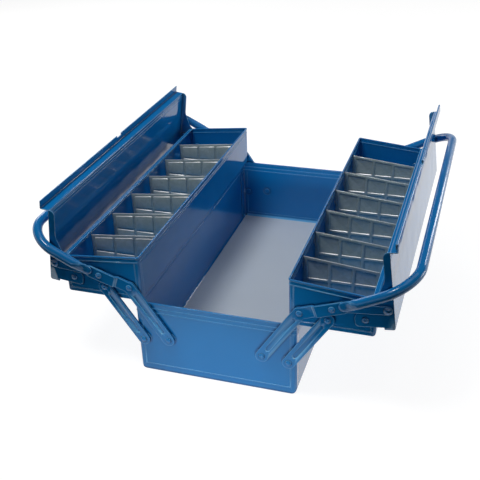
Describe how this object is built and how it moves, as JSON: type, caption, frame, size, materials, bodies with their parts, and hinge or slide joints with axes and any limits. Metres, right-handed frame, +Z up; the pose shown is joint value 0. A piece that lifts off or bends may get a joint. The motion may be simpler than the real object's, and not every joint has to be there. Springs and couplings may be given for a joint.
{
  "type": "cantilever tool box",
  "caption": "Two-stage cantilever tool box in blue enamelled steel sheet: trays, hinged lids and bail handles swing out on paired links from a deep tub, shown open.",
  "frame": {"origin": "under the middle of the tub, on the surface that it stands on", "axes": "+X across the box towards the right tray, +Y along the box away from the front end, +Z up"},
  "size_m": [0.5204, 0.507, 0.2428],
  "materials": {
    "blue_enamel": "gloss",
    "zinc_sheet": "satin",
    "floor_mat": "matte"
  },
  "bodies": {
    "tub": {"tub_shell": "blue_enamel", "tub_end_front": "blue_enamel", "tub_end_rear": "blue_enamel", "floor_mat": "floor_mat", "tub_rivets": "blue_enamel"},
    "arms_left": {"arm_left_front": "blue_enamel", "arm_left_rear": "blue_enamel", "handle_left": "blue_enamel", "handle_rivets_left": "blue_enamel"},
    "tray_left": {"tray_left": "blue_enamel", "tray_end_left_front": "blue_enamel", "tray_end_left_rear": "blue_enamel", "tray_rivets_left": "blue_enamel", "divider_left_1": "zinc_sheet", "divider_left_2": "zinc_sheet", "divider_left_3": "zinc_sheet", "divider_left_4": "zinc_sheet", "divider_left_5": "zinc_sheet", "divider_left_6": "zinc_sheet"},
    "links_left": {"link_left_front": "blue_enamel", "link_left_rear": "blue_enamel"},
    "lid_left": {"lid_left": "blue_enamel"},
    "bars_left": {"cover_bar_left_front": "blue_enamel", "cover_bar_left_rear": "blue_enamel", "bar_rivets_left": "blue_enamel"},
    "arms_right": {"arm_right_front": "blue_enamel", "arm_right_rear": "blue_enamel", "handle_right": "blue_enamel", "handle_rivets_right": "blue_enamel"},
    "tray_right": {"tray_right": "blue_enamel", "tray_end_right_front": "blue_enamel", "tray_end_right_rear": "blue_enamel", "tray_rivets_right": "blue_enamel", "divider_right_1": "zinc_sheet", "divider_right_2": "zinc_sheet", "divider_right_3": "zinc_sheet", "divider_right_4": "zinc_sheet", "divider_right_5": "zinc_sheet", "divider_right_6": "zinc_sheet"},
    "links_right": {"link_right_front": "blue_enamel", "link_right_rear": "blue_enamel"},
    "lid_right": {"lid_right": "blue_enamel"},
    "bars_right": {"cover_bar_right_front": "blue_enamel", "cover_bar_right_rear": "blue_enamel", "bar_rivets_right": "blue_enamel"}
  },
  "joints": [
    {"name": "arm_swing_left", "type": "hinge", "parent": "tub", "child": "arms_left", "pos_m": [-0.0648, 0, 0.0566], "axis": [0, 1, 0], "range_deg": [0, 66.63]},
    {"name": "tray_level_left", "type": "hinge", "parent": "arms_left", "child": "tray_left", "pos_m": [-0.1142, 0, 0.1311], "axis": [0, -1, 0], "range_deg": [0, 66.63]},
    {"name": "link_swing_left", "type": "hinge", "parent": "tub", "child": "links_left", "pos_m": [-0.1004, 0, 0.0526], "axis": [0, 1, 0], "range_deg": [0, 66.63]},
    {"name": "lid_fold_left", "type": "hinge", "parent": "tray_left", "child": "lid_left", "pos_m": [-0.1952, 0, 0.1338], "axis": [0, 1, 0], "range_deg": [0, 77.26]},
    {"name": "bar_swing_left", "type": "hinge", "parent": "arms_left", "child": "bars_left", "pos_m": [-0.15504, 0, 0.14548], "axis": [0, -1, 0], "range_deg": [0, 81.83]},
    {"name": "arm_swing_right", "type": "hinge", "parent": "tub", "child": "arms_right", "pos_m": [0.0648, 0, 0.0566], "axis": [0, -1, 0], "range_deg": [0, 66.63]},
    {"name": "tray_level_right", "type": "hinge", "parent": "arms_right", "child": "tray_right", "pos_m": [0.1142, 0, 0.1311], "axis": [0, 1, 0], "range_deg": [0, 66.63]},
    {"name": "link_swing_right", "type": "hinge", "parent": "tub", "child": "links_right", "pos_m": [0.1004, 0, 0.0526], "axis": [0, -1, 0], "range_deg": [0, 66.63]},
    {"name": "lid_fold_right", "type": "hinge", "parent": "tray_right", "child": "lid_right", "pos_m": [0.1952, 0, 0.1338], "axis": [0, -1, 0], "range_deg": [0, 77.26]},
    {"name": "bar_swing_right", "type": "hinge", "parent": "arms_right", "child": "bars_right", "pos_m": [0.15504, 0, 0.14548], "axis": [0, 1, 0], "range_deg": [0, 81.83]}
  ],
  "couplings": [
    {"joint": "tray_level_left", "follows": "arm_swing_left", "ratio": 1},
    {"joint": "link_swing_left", "follows": "arm_swing_left", "ratio": 1},
    {"joint": "lid_fold_left", "follows": "arm_swing_left", "ratio": 1.1595},
    {"joint": "bar_swing_left", "follows": "arm_swing_left", "ratio": 1.2281},
    {"joint": "tray_level_right", "follows": "arm_swing_right", "ratio": 1},
    {"joint": "link_swing_right", "follows": "arm_swing_right", "ratio": 1},
    {"joint": "lid_fold_right", "follows": "arm_swing_right", "ratio": 1.1595},
    {"joint": "bar_swing_right", "follows": "arm_swing_right", "ratio": 1.2281}
  ]
}
